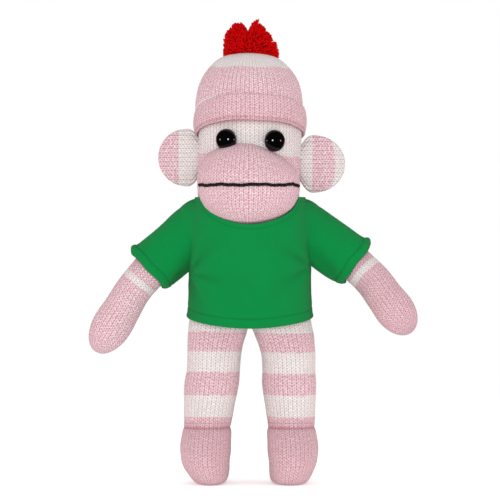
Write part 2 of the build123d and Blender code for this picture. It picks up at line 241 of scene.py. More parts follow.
class Shader:
    """A material's node tree, with short ways to add nodes to it."""

    def __init__(self, name):
        self.material = bpy.data.materials.new(name)
        self.material.use_nodes = True
        self.tree = self.material.node_tree
        self.bsdf = self.tree.nodes["Principled BSDF"]

    def put(self, socket, value):
        if isinstance(value, bpy.types.NodeSocket):
            self.tree.links.new(value, socket)
        else:
            socket.default_value = value

    def node(self, kind, inputs=(), **settings):
        made = self.tree.nodes.new(kind)
        for key, value in settings.items():
            setattr(made, key, value)
        for key, value in dict(inputs).items():
            self.put(made.inputs[key], value)
        return made

    def math(self, operation, a, b=0.0, c=0.0):
        return self.node("ShaderNodeMath", {0: a, 1: b, 2: c}, operation=operation).outputs[0]

    def from_middle(self, u):
        """How far a point is from the middle of its column of stitches, from 0 to 1 at either side."""
        return self.math("MULTIPLY", self.math("ABSOLUTE", self.math("SUBTRACT", self.math("FRACT", u), 0.5)), 2.0)

    def attribute(self, name):
        return self.node("ShaderNodeAttribute", attribute_name=name).outputs["Fac"]

    def mix(self, factor, a, b, blend_type="MIX"):
        made = self.node("ShaderNodeMix", data_type="RGBA", blend_type=blend_type)
        self.put(made.inputs["Factor"], factor)
        self.put(made.inputs[6], a)
        self.put(made.inputs[7], b)
        return made.outputs[2]

    def between(self, value, low_in, high_in, low_out=0.0, high_out=1.0):
        inputs = {"Value": value, "From Min": low_in, "From Max": high_in, "To Min": low_out, "To Max": high_out}
        return self.node("ShaderNodeMapRange", inputs, interpolation_type="SMOOTHSTEP").outputs["Result"]

    def noise(self, vector, scale, detail=2.0):
        return self.node("ShaderNodeTexNoise", {"Vector": vector, "Scale": scale, "Detail": detail}).outputs["Fac"]

    def bump(self, height, strength, distance):
        inputs = {"Height": height, "Strength": strength, "Distance": distance}
        return self.node("ShaderNodeBump", inputs).outputs["Normal"]

    def finish(self, color, roughness, normal=None, **fixed):
        self.put(self.bsdf.inputs["Base Color"], color)
        self.put(self.bsdf.inputs["Roughness"], roughness)
        if normal is not None:
            self.put(self.bsdf.inputs["Normal"], normal)
        for key, value in fixed.items():
            self.bsdf.inputs[key.replace("_", " ")].default_value = value
        return self.material


def srgb(red, green, blue):
    """A colour from its screen values, 0 to 255."""
    shares = [value / 255 for value in (red, green, blue)]
    return (*(c / 12.92 if c <= 0.04045 else ((c + 0.055) / 1.055) ** 2.4 for c in shares), 1.0)


PINK, PINK_FLECK, DEEP_PINK = srgb(199, 160, 168), srgb(219, 203, 206), srgb(191, 145, 154)
CREAM, CREAM_FLECK = srgb(204, 199, 197), srgb(221, 217, 215)
PINK_GAP_SHADE, CREAM_GAP_SHADE = srgb(158, 120, 129), srgb(166, 160, 158)  # painted shade in the gaps between the stitches
KNIT_PATCH, KNIT_SHADE = srgb(205, 160, 170), srgb(196, 112, 130)  # multiplied into the knit's colour: random patches of tone, and painted shade
# The deepest green is painted shade between the jersey's loops; the shade green is painted shade multiplied in at
# folds and stitch lines.
GREEN_LOOP_SHADE, GREEN, GREEN_PATCH, GREEN_SHADE = srgb(0, 100, 46), srgb(0, 132, 62), srgb(0, 118, 58), srgb(30, 80, 50)


def knit_material():
    """Flat knitting in marled pink and off-white yarn: columns of V-shaped stitches, with painted shade in the gaps
    between them.
    """
    s = Shader("knit")
    uv = s.node("ShaderNodeUVMap", uv_map="UVMap").outputs[0]
    split = s.node("ShaderNodeSeparateXYZ", {0: uv})
    u, v = split.outputs[0], split.outputs[1]
    a = s.from_middle(u)
    row = s.math("ADD", v, s.math("MULTIPLY_ADD", s.noise(uv, 0.7), 0.4, -0.2))  # no row is quite straight
    across = s.math("COSINE", s.math("MULTIPLY", a, pi))
    along = s.math("COSINE", s.math("MULTIPLY", row, 2 * pi))
    legs = s.math("COSINE", s.math("MULTIPLY", a, 2 * pi))
    slant = s.math("MULTIPLY", s.math("MULTIPLY_ADD", a, 0.5, row), pi)
    between_loops = s.math("SUBTRACT", 1.0, s.math("ABSOLUTE", s.math("SINE", slant)))
    dark = s.math("MULTIPLY_ADD", s.math("MULTIPLY", across, along), -0.38, 0.45)
    dark = s.math("ADD", dark, s.math("MULTIPLY_ADD", legs, 0.2, s.math("MULTIPLY", across, -0.1)))
    dark = s.math("MULTIPLY_ADD", between_loops, 0.3, dark)
    height = s.math("SUBTRACT", 1.0, dark)
    stitch = s.between(dark, 0.4, 1.05, 1.0, 0.0)
    strands = s.node("ShaderNodeMapping", {"Vector": uv, "Scale": (1.6, 1.0, 1.0)}).outputs[0]
    fleck = s.between(s.noise(strands, 1.3, 2.0), 0.38, 0.64)
    patch = s.between(s.noise(uv, 0.11), 0.3, 0.7)
    ragged = s.math("MULTIPLY_ADD", s.noise(strands, 1.9, 1.0), 0.9, -0.45)
    white = s.between(s.math("ADD", s.attribute("white"), ragged), 0.3, 0.7)
    pink = s.mix(s.attribute("tone"), s.mix(fleck, PINK, PINK_FLECK), DEEP_PINK)
    base = s.mix(white, pink, s.mix(fleck, CREAM, CREAM_FLECK))
    base = s.mix(s.math("MULTIPLY", patch, 0.12), base, KNIT_PATCH, "MULTIPLY")
    # painted shade: the colour darkens where the stitches dip into their gaps
    color = s.mix(stitch, s.mix(white, PINK_GAP_SHADE, CREAM_GAP_SHADE), base)
    # painted shade, as much as the shade attribute asks for
    color = s.mix(s.math("MULTIPLY", s.attribute("shade"), 0.75), color, KNIT_SHADE, "MULTIPLY")
    fibre = s.noise(uv, 14.0, 2.0)
    relief = s.math("MULTIPLY_ADD", fibre, 0.15, height)
    return s.finish(color, 0.92, s.bump(relief, 0.7, 0.0005), Sheen_Weight=0.12, Sheen_Roughness=0.5,
                    Specular_IOR_Level=0.15)


def jersey_material():
    """Fine green cotton jersey, with painted shade between its loops and at its folds and lines of stitches."""
    s = Shader("jersey")
    uv = s.node("ShaderNodeUVMap", uv_map="UVMap").outputs[0]
    split = s.node("ShaderNodeSeparateXYZ", {0: uv})
    u, v = split.outputs[0], split.outputs[1]
    a = s.from_middle(u)
    leg = s.math("SINE", s.math("MULTIPLY", a, pi))
    loop = s.math("SINE", s.math("MULTIPLY", s.math("FRACT", s.math("MULTIPLY_ADD", a, 0.7, v)), pi))
    height = s.math("MULTIPLY", s.math("POWER", leg, 0.6), s.math("MULTIPLY_ADD", loop, 0.6, 0.4))
    patch = s.noise(uv, 0.05, 3.0)
    # painted shade: darker green where the loops dip
    cloth = s.mix(s.between(height, 0.1, 0.7), GREEN_LOOP_SHADE, GREEN)
    cloth = s.mix(s.between(patch, 0.35, 0.7, 0.0, 0.3), cloth, GREEN_PATCH)
    # painted shade at the folds and along the lines of stitches
    cloth = s.mix(s.math("MULTIPLY", s.attribute("shade"), 0.7), cloth, GREEN_SHADE, "MULTIPLY")
    relief = s.math("MULTIPLY_ADD", s.noise(uv, 3.0), 0.2, height)
    return s.finish(cloth, 0.85, s.bump(relief, 0.5, 0.0002), Sheen_Weight=0.03, Sheen_Roughness=0.5,
                    Specular_IOR_Level=0.1)


def yarn_material(name, dark, light, sheen=0.2):
    """Twisted yarn: plies that slant along the strand, and loose fibres. Its colour is darker in the grooves between
    the plies, as painted shade, and where the fibres' own random tone is darker.
    """
    s = Shader(name)
    uv = s.node("ShaderNodeUVMap", uv_map="UVMap").outputs[0]
    split = s.node("ShaderNodeSeparateXYZ", {0: uv})
    ply = s.math("SINE", s.math("MULTIPLY", s.math("ADD", split.outputs[0], split.outputs[1]), 2 * pi))
    fibre = s.noise(uv, 6.0, 3.0)
    relief = s.math("MULTIPLY_ADD", fibre, 0.6, s.math("MULTIPLY_ADD", ply, 0.5, 0.5))
    # painted shade in the grooves between the plies, mixed with the fibres' random tone
    color = s.mix(s.between(relief, 0.2, 1.2), dark, light)
    return s.finish(color, 0.9, s.bump(relief, 0.6, 0.0002), Sheen_Weight=sheen, Specular_IOR_Level=0.08)


def plastic_material(name, color, tint, roughness):
    """Moulded plastic with the faint unevenness of its polish."""
    s = Shader(name)
    place = s.node("ShaderNodeTexCoord").outputs["Object"]
    smear = s.noise(place, 300.0, 3.0)
    return s.finish(s.mix(smear, color, tint), s.between(smear, 0.3, 0.7, roughness, roughness * 1.6),
                    s.bump(smear, 0.02, 0.0001), Specular_IOR_Level=0.6, IOR=1.35)


KNIT_CLOTH = knit_material()
JERSEY_CLOTH = jersey_material()
RED_YARN = yarn_material("red_yarn", srgb(150, 0, 0), srgb(212, 0, 2), sheen=0.0)
BLACK_YARN = yarn_material("black_yarn", srgb(6, 5, 6), srgb(34, 30, 31), sheen=0.05)
PINK_THREAD = yarn_material("sewing_thread", srgb(190, 130, 145), srgb(236, 200, 206))
BLACK_PLASTIC = plastic_material("black_plastic", srgb(2, 2, 2), srgb(5, 4, 5), 0.03)
CLEAR_PLASTIC = plastic_material("clear_plastic", srgb(222, 222, 216), srgb(205, 205, 200), 0.4)

X, Y, Z = np.eye(3)


def upright(name, heights, xs, ys, wide, thick, wales, **more):
    """A knitted tube of level rings, from its top ring down, whose first column is at the back."""
    centres = MIDDLE + np.stack([xs, ys, heights], 1)
    back, side = np.repeat([Y], len(heights), 0), np.repeat([-X], len(heights), 0)
    return knit_rings(name, centres, back, side, thick, wide, wales, **more)


# The head, its muzzle, mouth and eyes

HEAD_WIDE = [(168.5, 0.3), (169.5, 14), (172, 22), (177, 28.5), (183, 32.0), (190, 33.4), (200, 33.5), (212, 33.6),
             (228, 33.8), (240, 34.0), (256, 33.4)]
HEAD_DEEP = [(168.5, 0.3), (169.5, 14), (172, 22), (177, 28.0), (183, 31.2), (190, 32.4), (200, 32.6), (228, 32.4),
             (256, 32.8)]
HEAD_WALES = 72
FACE_LINE = 215.6  # where the white of the face ends at the sides
EDGE_SOFT = 1.6  # half the height over which it ends
CUFF_SHADOW = 233.0  # where the hat's cuff casts a painted shadow on the back of the head; it is higher in front


def head():
    heights = np.concatenate([np.linspace(256, 172, 110), np.linspace(171.5, 168.5, 12)])
    turn = turns(HEAD_WALES * STEPS)[None]
    line = FACE_LINE + 1.7 * np.sin(turn) + 0.5 * np.sin(turn * 9)
    white = ramp(heights[:, None] + 0 * turn, line - EDGE_SOFT, line + EDGE_SOFT)
    cuff_line = CUFF_SHADOW + 5.0 * np.exp(-((turn - pi) ** 2) / 1.6)
    # painted shadow of the hat's cuff on the head
    shade = 0.8 * bell(heights[:, None] - cuff_line, 2.2)
    chin_shift = -0.9 * (1 - ramp(heights, 200, 225))
    piece = upright("head", heights, chin_shift, 0 * heights, curve(HEAD_WIDE, heights), curve(HEAD_DEEP, heights),
                    HEAD_WALES, data=paint(white, shade=shade), lump=0.25)
    dress(piece, KNIT_CLOTH)
    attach(piece, "head")
    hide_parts("head_skin", "head_filling")


MUZZLE_MIDDLE = MIDDLE + np.array([-0.8, -25.5, 196.2])
MUZZLE_HALF = (33.5, 24.6, 24.3)
CHIN_DEPTH = 27.6
MUZZLE_WALES = 26
MUZZLE_REACH = 128.0  # degrees to either side of its front, where it meets the head
MOUTH_RISE = -0.03  # radians above the muzzle's middle


def muzzle_surface(turn, rise, out=0.0):
    """Points of the muzzle, from an angle round the upright axis, 0 in front, and one above its middle."""
    a, b, c = (half + out for half in MUZZLE_HALF)
    power = 1 - 0.2 * ramp(-np.sin(turn), -0.1, 0.75) * (np.asarray(rise) > 0)  # fuller above, to one side
    level = np.abs(np.cos(rise)) ** (power * 0.94)
    x = a * level * np.sign(np.sin(turn)) * np.abs(np.sin(turn)) ** 0.9
    y = -b * level * np.cos(turn)
    tall = np.where(np.asarray(rise) > 0, c, CHIN_DEPTH + out)
    z = tall * np.sign(rise) * np.abs(np.sin(rise)) ** power
    y = y + 1.0 * bell(rise - MOUTH_RISE, 0.06) * np.abs(np.cos(turn)) ** 0.5  # the yarn pulls a furrow
    z = z + ramp(np.sin(rise), 0.0, 0.9) * (2.8 * bell(x, 12) - 0.07 * x)  # a crest, a little to one side
    return MUZZLE_MIDDLE + np.stack([x, y, z], -1)


def muzzle():
    cols = MUZZLE_WALES * STEPS + 1
    rise = np.radians(np.linspace(88, -88, 130))
    turn = np.radians(np.linspace(-MUZZLE_REACH, MUZZLE_REACH, cols))
    t, r = np.meshgrid(turn, rise)
    points = muzzle_surface(t, r)
    u = t / turn[-1] * MUZZLE_WALES * 1.1 * np.cos(r) ** 0.45 + 100
    stand = wale_profile(u) * np.clip(np.cos(r) * 1.3, 0, 1) + lumps(points, 12.0, 0.3, 2.0)
    points = points + unit(points - MUZZLE_MIDDLE) * stand[..., None]
    v = lengths_along(points[:, cols // 2]) / COURSE
    uv = np.stack([u, np.broadcast_to(v[:, None], u.shape)], 2)
    piece = grid_mesh("muzzle", points, uv, paint(tone=0.1), wrap=False)
    dress(piece, KNIT_CLOTH)
    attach(piece, "head")
    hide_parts("muzzle_skin", "muzzle_filling")


TUBE_GUIDE = np.array([0.13, 0.29, 0.95])  # no strand runs this way
YARN_TURN = 1.2  # a strand's length for one step of its texture


def tube_points(path, radius, sides):
    """Rings of points round a path."""
    tangent = unit(np.gradient(path, axis=0))
    one = unit(np.cross(tangent, TUBE_GUIDE))
    two = np.cross(tangent, one)
    angle = turns(sides)[None]
    radius = np.broadcast_to(np.asarray(radius, float), (len(path),))[:, None, None]
    return path[:, None] + radius * (one[:, None] * np.cos(angle)[..., None] + two[:, None] * np.sin(angle)[..., None])


def strands(name, paths, radii, sides, material, slot):
    """Many thin tubes as one mesh."""
    vertices, faces, uvs = [], [], []
    count = 0
    for path, radius in zip(paths, radii):
        points = tube_points(path, radius, sides)
        rows = len(path)
        index = count + np.arange(rows * sides).reshape(rows, sides)
        nxt = np.roll(index, -1, axis=1)
        quads = np.stack([index[:-1], index[1:], nxt[1:], nxt[:-1]], -1).reshape(-1, 4)
        v = lengths_along(path) / YARN_TURN
        u = np.arange(sides + 1) / sides * 2
        quad_uv = np.empty((rows - 1, sides, 4, 2))
        quad_uv[..., 0, 0] = quad_uv[..., 1, 0] = u[:-1][None]
        quad_uv[..., 2, 0] = quad_uv[..., 3, 0] = u[1:][None]
        quad_uv[..., 0, 1] = quad_uv[..., 3, 1] = v[:-1][:, None]
        quad_uv[..., 1, 1] = quad_uv[..., 2, 1] = v[1:][:, None]
        vertices.append(points.reshape(-1, 3))
        faces += quads.tolist() + [index[0].tolist(), index[-1][::-1].tolist()]
        uvs += [quad_uv.reshape(-1, 2), np.zeros((2 * sides, 2))]
        count += rows * sides
    mesh = bpy.data.meshes.new(name)
    mesh.from_pydata((np.concatenate(vertices) * MM).tolist(), [], faces)
    mesh.uv_layers.new(name="UVMap").data.foreach_set("uv", np.concatenate(uvs).astype(np.float32).ravel())
    mesh.shade_smooth()
    return dress(link(name, mesh), material)


PLY_R, PLY_REACH, PLY_TWIST = 0.62, 0.52, 3.4  # a ply's radius, its distance from the yarn's middle, and a full turn


def mouth():
    """Three plies of black yarn, twisted, laid across the muzzle."""
    turn = np.radians(np.linspace(-71, 72, 420))
    rise = MOUTH_RISE + 0.01 * np.sin(turn * 9) + 0.006 * np.sin(turn * 23 + 1)
    rise += 0.028 * bell(np.degrees(turn) - 56, 3.0)
    line = muzzle_surface(turn, rise, 0.35)
    up = np.repeat([Z], len(line), 0)
    side = np.cross(unit(np.gradient(line, axis=0)), up)
    plies = []
    for k in range(3):
        angle = 2 * pi * (lengths_along(line) / PLY_TWIST + k / 3)
        plies.append(line + PLY_REACH * (up * np.sin(angle)[:, None] + side * np.cos(angle)[:, None]))
    piece = strands("mouth_strand", plies, [PLY_R] * 3, 8, BLACK_YARN, "black_yarn")
    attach(piece, "head")
    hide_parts("mouth_yarn")


def lathe(name, middle, outward, profile, sides):
    """A turned piece: a profile of (radius, height) on a plane given by its middle and outward direction."""
    one = unit(np.cross(outward, Z))
    two = np.cross(outward, one)
    angle = turns(sides)[:, None]
    ring = one * np.cos(angle) + two * np.sin(angle)
    points = np.array([middle + ring * radius + outward * height for radius, height in profile])
    u, v = np.meshgrid(np.arange(sides + 1) / sides * 20, np.arange(len(profile)) / 3.0)
    return grid_mesh(name, points, np.stack([u, v], 2), {}, caps=(True, True))


EYE_SEAT = 34.9  # from the neck's axis to the foot of an eye's dome
EYE_PROUD = 0.42  # how much wider an eye is here than in CAD
EYE_SHIFT = {"left": (-0.6, -2.5), "right": (1.2, -1.8)}  # sideways and up, from its place in CAD
EYE_HIGH = 0.8  # an eye's dome is this share of its radius high


def eyes():
    for side in SIDES:
        centre = (low(f"eye_{side}") + high(f"eye_{side}")) / 2
        radius = (high(f"eye_{side}") - low(f"eye_{side}"))[2] / 2 + EYE_PROUD
        centre[0] += EYE_SHIFT[side][0]
        outward = unit((centre - NECK) * (1, 1, 0))
        seat = NECK + outward * EYE_SEAT
        seat[2] = centre[2] + EYE_SHIFT[side][1]
        dome = [(radius * sin(radians(a)), radius * cos(radians(a)) * EYE_HIGH) for a in np.linspace(1, 90, 24)]
        rim = [(radius, -0.5), (radius * 0.97, -1.2), (radius * 0.6, -1.5)]
        shank = [(2.0, -1.6), (2.0, -8.5), (0.3, -9.0)]
        piece = lathe(f"eye_dome_{side}", seat, outward, dome + rim + shank, 64)
        dress(piece, BLACK_PLASTIC)
        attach(piece, "head")
        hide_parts(f"eye_{side}")


# Ears

EAR_COLUMNS = 176
EAR_ROOT = 10.5  # how far an ear reaches inwards, past its middle
EAR_PUFF = 4.6  # half its thickness
EAR_STITCH = 0.15  # where the stitches pinch it, as a share of its size from the edge


def ears():
    """Two faces of knit, sewn together round the edge and pinched inside it."""
    for side, sign in SIDES.items():
        hinge = joints[f"ear_fold_{side}"]
        bottom, top = low(f"ear_{side}_skin"), high(f"ear_{side}_skin")
        half_high = (top - bottom)[2] / 2
        reach = abs((top if sign > 0 else bottom)[0] - hinge[0])
        cols = EAR_COLUMNS
        rings = np.linspace(0.0, 1.0, 46)
        outer, up = np.cos(turns(cols)), np.sin(turns(cols))
        outline_x = np.where(outer > 0, reach * 0.9 * np.abs(outer) ** 0.9, -EAR_ROOT * np.abs(outer)) + reach * 0.1
        outline_z = half_high * up * (1 - 0.16 * ramp(-outer, -0.1, 1.0))
        faces = []
        for face, rho in ((1, rings), (-1, rings[::-1])):
            puff = EAR_PUFF * (1 - rho**2.6) ** 0.55
            pinch = 1 - 0.3 * bell(1 - rho - EAR_STITCH, 0.04)
            y = -face * (puff * pinch)[:, None] * np.ones(cols)[None]
            faces.append(np.stack([rho[:, None] * outline_x[None], y, rho[:, None] * outline_z[None]], 2))
        points = np.concatenate([faces[0], faces[1][1:]])
        width = points[..., 0].copy()
        points[..., 0] *= sign
        points = points + hinge
        height = points[..., 2] - hinge[2]
        u = height / WALE + 20
        v = width / COURSE
        stand = np.sign(hinge[1] - points[..., 1])
        points[..., 1] -= stand * (wale_profile(u) * 0.8 + lumps(points, 9.0, 0.3, 3.0 * sign))
        uv = np.stack([closed(u), closed(v)], 2)
        if side == "right":
            white = 1 - ramp(width, 8.3, 9.5)
        else:
            white = 1 - ramp(width, 2.4, 3.6) + ramp(width + 0.012 * height**2, 17.4, 18.8)
        piece = grid_mesh(f"ear_{side}", points, uv, paint(white), flip=sign > 0)
        dress(piece, KNIT_CLOTH)
        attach(piece, f"ear_{side}")
        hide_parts(f"ear_{side}_skin", f"ear_{side}_filling")


# Hat

HAT_WIDE = [(226, 35.3), (250, 35.2), (255, 34.7), (259, 34.1), (263, 32.9), (267, 31.1), (270.8, 28.6), (274.8, 25.2),
            (278.5, 21.0), (281.5, 15.0), (283.3, 7.5), (283.8, 0.4)]
HAT_SLOPE = 0.194  # how fast the tilted hat's edges drop towards the back
HAT_FOOT = 230.9  # the cuff's lower edge at the sides
HAT_TOP = 283.8
HAT_DEEP = 0.985  # the hat's depth as a share of its width
HAT_TIP = 273.4  # where its white tip begins
HAT_WALES, CUFF_WALES = 72, 78


def hat_foot(turn):
    """The height of the cuff's lower edge at an angle from the back towards the right."""
    foot = HAT_FOOT - 36 * HAT_SLOPE * np.cos(turn) - 1.8 * np.sin(turn) ** 4
    return foot + 0.35 * np.sin(turn * 3 + 0.5) + 0.2 * np.sin(turn * 7)


def hat_crown():
    """The crown, from its top to inside the cuff. A little of its white band shows above the cuff on one side."""
    cols, rows = HAT_WALES * STEPS, 110
    turn = turns(cols)[None]
    t = np.linspace(0, 1, rows)[:, None]
    z = HAT_TOP + (hat_foot(turn) + 5.0 - HAT_TOP) * (0.35 * t + 0.65 * t**1.6)
    wide = curve(HAT_WIDE, z)
    tip = HAT_TIP + 0.8 * np.sin(turn + 1) + 0.4 * np.sin(turn * 7)
    rim = hat_foot(turn) + 16.3
    near_left = bell(turn - 0.62 * pi, 0.5)
    white = ramp(z, tip - 1.2, tip + 1.2) + (1 - ramp(z, rim + 0.6, rim + 1.8)) * ramp(near_left, 0.2, 0.5)
    u = np.broadcast_to(np.arange(cols + 1) / STEPS, (rows, cols + 1))
    points = MIDDLE + np.stack([-np.sin(turn) * wide - 0.5, np.cos(turn) * wide * HAT_DEEP, z], 2)
    fade = np.clip(wide / 30, 0, 1)
    stand = wale_profile(u[:, :-1]) * fade + lumps(points, LUMP_SIZE, 0.5, 1.0) * ramp(wide, 2, 12)
    points = points + np.stack([-np.sin(turn) + 0 * z, np.cos(turn) + 0 * z, 0 * z], 2) * stand[..., None]
    v = lengths_along(points[:, 0]) / COURSE
    uv = np.stack([u, np.broadcast_to(v[:, None], u.shape)], 2)
    piece = grid_mesh("hat_crown_knit", points, uv, paint(np.clip(white, 0, 1)), caps=(True, False))
    dress(piece, KNIT_CLOTH)
    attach(piece, "head")
    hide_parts("hat_crown")


# The cuff's section, from inside its foot over its wall to inside its rim: (radius, height above its foot)
CUFF_SECTION = np.array([(34.3, 3.0), (34.4, 0.8), (35.2, -0.3), (36.2, 0.3), (36.5, 1.6), (36.3, 2.4), (36.9, 4.4),
                         (37.3, 9.0), (37.1, 13.0), (36.6, 16.0), (36.1, 18.0), (35.5, 19.0), (34.9, 18.6),
                         (34.8, 16.5)])


def hat_cuff():
    """The cuff is the hat's edge, turned up: a soft roll at its foot, a bulging wall and a rolled rim."""
    cols = CUFF_WALES * STEPS
    turn = turns(cols)[None]
    lengths = lengths_along(CUFF_SECTION)
    at = np.linspace(0, lengths[-1], 46)
    radius, rise = (np.interp(at, lengths, CUFF_SECTION[:, i]) for i in range(2))
    kernel = np.array([0.25, 0.5, 0.25])
    for _ in range(3):
        radius[1:-1] = np.convolve(radius, kernel, "valid")
        rise[1:-1] = np.convolve(rise, kernel, "valid")
    squeeze = 0.88 - 0.05 * np.cos(turn) - 0.02 * np.sin(turn)
    u = np.broadcast_to(np.arange(cols + 1) / STEPS, (len(at), cols + 1))
    shown = radius[:, None] + wale_profile(u[:, :-1]) * 1.15
    z = hat_foot(turn) + rise[:, None] * squeeze
    points = MIDDLE + np.stack([-np.sin(turn) * shown, np.cos(turn) * shown * HAT_DEEP, z], 2)
    points[..., 2] += lumps(points, 10.0, 0.25, 5.0)
    uv = np.stack([u, np.broadcast_to((at / COURSE)[:, None], u.shape)], 2)
    shade = 0.55 * bell(at - 6.6, 0.9) + 0.3 * bell(at - 3.6, 1.2)  # painted shade in the fold near its foot
    piece = grid_mesh("hat_cuff_knit", points[::-1], uv[::-1], paint(tone=0.25, shade=shade[::-1]))
    dress(piece, KNIT_CLOTH)
    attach(piece, "head")
    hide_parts("hat_cuff")


# How long the pompom's yarns are, in front view: (degrees from upright towards the left, length)
POMPOM_REACH = [(-125, 12.0), (-104, 16.4), (-75, 16.8), (-54, 19.0), (-35, 20.6), (-18, 21.6), (-7, 19.0), (2, 14.6),
                (9, 20.0), (17.7, 23.8), (30, 21.2), (43, 19.8), (70, 20.6), (98, 21.4), (110, 19.0), (125, 12.0)]
POMPOM_DEPTH = 12.5
PUFF_YARNS = 760
POMPOM_KNOT = MIDDLE + np.array([-1.8, 0, 283.6])
POMPOM_LEAN = 122  # degrees from upright, where the lowest yarns lie


def pompom():
    """Two puffs of cut yarn that spring from the knot."""
    generator = np.random.default_rng(7)
    for side, sign in SIDES.items():
        paths, radii = [], []
        while len(paths) < PUFF_YARNS:
            aim = generator.normal(size=3)
            aim /= np.linalg.norm(aim)
            lean = degrees(atan2(aim[0], aim[2]))
            if abs(lean) > POMPOM_LEAN or (lean - 2) * sign < 0:
                continue
            level = sqrt(aim[0] ** 2 + aim[2] ** 2)
            reach = 1 / sqrt((level / float(curve(POMPOM_REACH, lean))) ** 2 + (aim[1] / POMPOM_DEPTH) ** 2)
            end = aim * reach * generator.uniform(0.93, 1.0)
            start = generator.normal(size=3) * 0.7
            swell = end * 0.5 + generator.normal(size=3) * 0.4 + np.array([sign * 0.9, 0, 0])
            t = np.linspace(0, 1, 8)[:, None]
            paths.append(POMPOM_KNOT + (1 - t) ** 2 * start + 2 * t * (1 - t) * swell + t**2 * end)
            radii.append(np.linspace(0.42, 0.5, 8) * generator.uniform(0.85, 1.15))
        piece = strands(f"pompom_yarn_{side}", paths, radii, 5, RED_YARN, "red_yarn")
        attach(piece, "head")
        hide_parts(f"pompom_puff_{side}")


# Arms, legs, feet, tail and torso


def limb_frames(path):
    """Two directions across a path at each of its points, the first as level as can be."""
    tangent = unit(np.gradient(path, axis=0))
    across = unit(np.cross(tangent, Y))
    return across, np.cross(tangent, across)


def spline_path(stations, rows):
    """A smooth path through a few points, evenly divided."""
    stations = np.array(stations, float)
    lengths = lengths_along(stations)
    places = np.linspace(0, lengths[-1], rows)
    padded = np.vstack([2 * stations[0] - stations[1], stations, 2 * stations[-1] - stations[-2]])
    out = np.empty((rows, 3))
    for i, place in enumerate(places):
        k = min(np.searchsorted(lengths, place, side="right") - 1, len(stations) - 2)
        t = (place - lengths[k]) / (lengths[k + 1] - lengths[k])
        p0, p1, p2, p3 = padded[k:k + 4]
        square, cube = 2 * p0 - 5 * p1 + 4 * p2 - p3, 3 * p1 - p0 - 3 * p2 + p3
        out[i] = 0.5 * (2 * p1 + (p2 - p0) * t + square * t**2 + cube * t**3)
    return out, places


UPPER_DROP = {"left": 34.0, "right": 41.0}  # degrees below level
FOREARM_DROP = {"left": 54.0, "right": 58.5}
FOREARM_FORWARD = {"left": 25.0, "right": 0.0}  # degrees
UPPER_ARM, FOREARM = 51.0, 42.5
ARM_START = 6.0  # where the knit begins, from the shoulder
ARM_WALES = 28
RING_AT = {"left": 53.0, "right": 54.5}  # the white ring's middle, from the shoulder
RING_HALF = {"left": 2.5, "right": 2.0}
RING_SOFT = 0.9
ARM_TIP = {"left": 13.0, "right": 15.5}  # how far the paw reaches past the middle of its end


def arm_directions(side):
    """The directions of an upper arm and a forearm."""
    drop, fore, forward = (radians(table[side]) for table in (UPPER_DROP, FOREARM_DROP, FOREARM_FORWARD))
    upper = np.array([SIDES[side] * cos(drop), 0, -sin(drop)])
    lower = np.array([SIDES[side] * cos(fore) * cos(forward), -sin(forward), -sin(fore) * cos(forward)])
    return upper, lower


def arms():
    for side, sign in SIDES.items():
        shoulder = joints[f"arm_swing_{side}"]
        upper, lower = arm_directions(side)
        elbow = shoulder + upper * UPPER_ARM
        stations = [shoulder + upper * ARM_START, shoulder + upper * 24, elbow - upper * 11, elbow + lower * 9,
                    elbow + lower * 26, elbow + lower * (FOREARM + ARM_TIP[side])]
        path, along = spline_path(stations, 150)
        along = along + ARM_START
        tip = np.clip((along[-1] - along) / 20.0, 0, 1)
        ring = RING_AT[side]
        radius = curve([(0, 12.4), (40, 12.3), (ring - 4, 11.8), (ring + 3, 11.8), (74, 12.1), (88, 12.9), (94, 12.9),
                        (140, 12.3)], along)
        radius = radius * np.maximum(np.sqrt(1 - (1 - tip) ** 2.1), 0.02)
        across, deep = limb_frames(path)
        white = band(along, ring - RING_HALF[side], ring + RING_HALF[side], RING_SOFT)
        piece = knit_rings(f"arm_{side}", path, across, deep, radius, radius * 0.98, ARM_WALES,
                           paint(white, tone=0.35 if side == "left" else 0.05), lump=0.3, seed=4.0 * sign)
        dress(piece, KNIT_CLOTH)
        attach(piece, f"arm_{side}")
        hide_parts(f"arm_{side}_skin", f"arm_{side}_filling")


LEG_MIDDLE = {"right": [(36, -28.3), (43, -27.8), (51, -26.9), (58.6, -25.9), (66.5, -25.0), (74, -24.2), (82, -23.8),
                        (90, -23.1), (98, -21.6), (104, -20.6), (120, -19.5)],
              "left": [(36, 27.3), (43, 26.9), (51, 26.5), (66.5, 25.9), (82, 25.4), (90, 24.2), (98, 22.4),
                       (104, 20.8), (120, 19.5)]}
LEG_HALF = [(36, 15.3), (40, 15.5), (43, 15.9), (51, 16.5), (58, 17.2), (66.5, 17.7), (74, 17.3), (82, 17.5),
            (90, 18.1), (98, 19.3), (104, 19.8), (120, 17.5)]
LEG_DEPTH = 17.6  # no leg is deeper than this, as a half size
LEG_WALES = 37
STRIPES = {"right": (99.6, 86.8, 73.3, 58.0, 43.6), "left": (98.8, 86.1, 72.2, 58.0, 43.6)}
ANKLE_LINE = 36.6  # the crease between a leg and its foot
STRIPE_SOFT = 1.1


def ankle_crease(heights, width):
    """1 in the crease, and 0 away from it."""
    return bell(heights - ANKLE_LINE, width)


def stripes(side, z):
    """1 in the white stripes of a leg, 0 in the pink ones."""
    tops = STRIPES[side]
    white = ramp(z, tops[0] - STRIPE_SOFT, tops[0] + STRIPE_SOFT)
    for upper, lower in ((tops[1], tops[2]), (tops[3], tops[4])):
        white = white + band(z, lower, upper, STRIPE_SOFT)
    return np.clip(white, 0, 1)


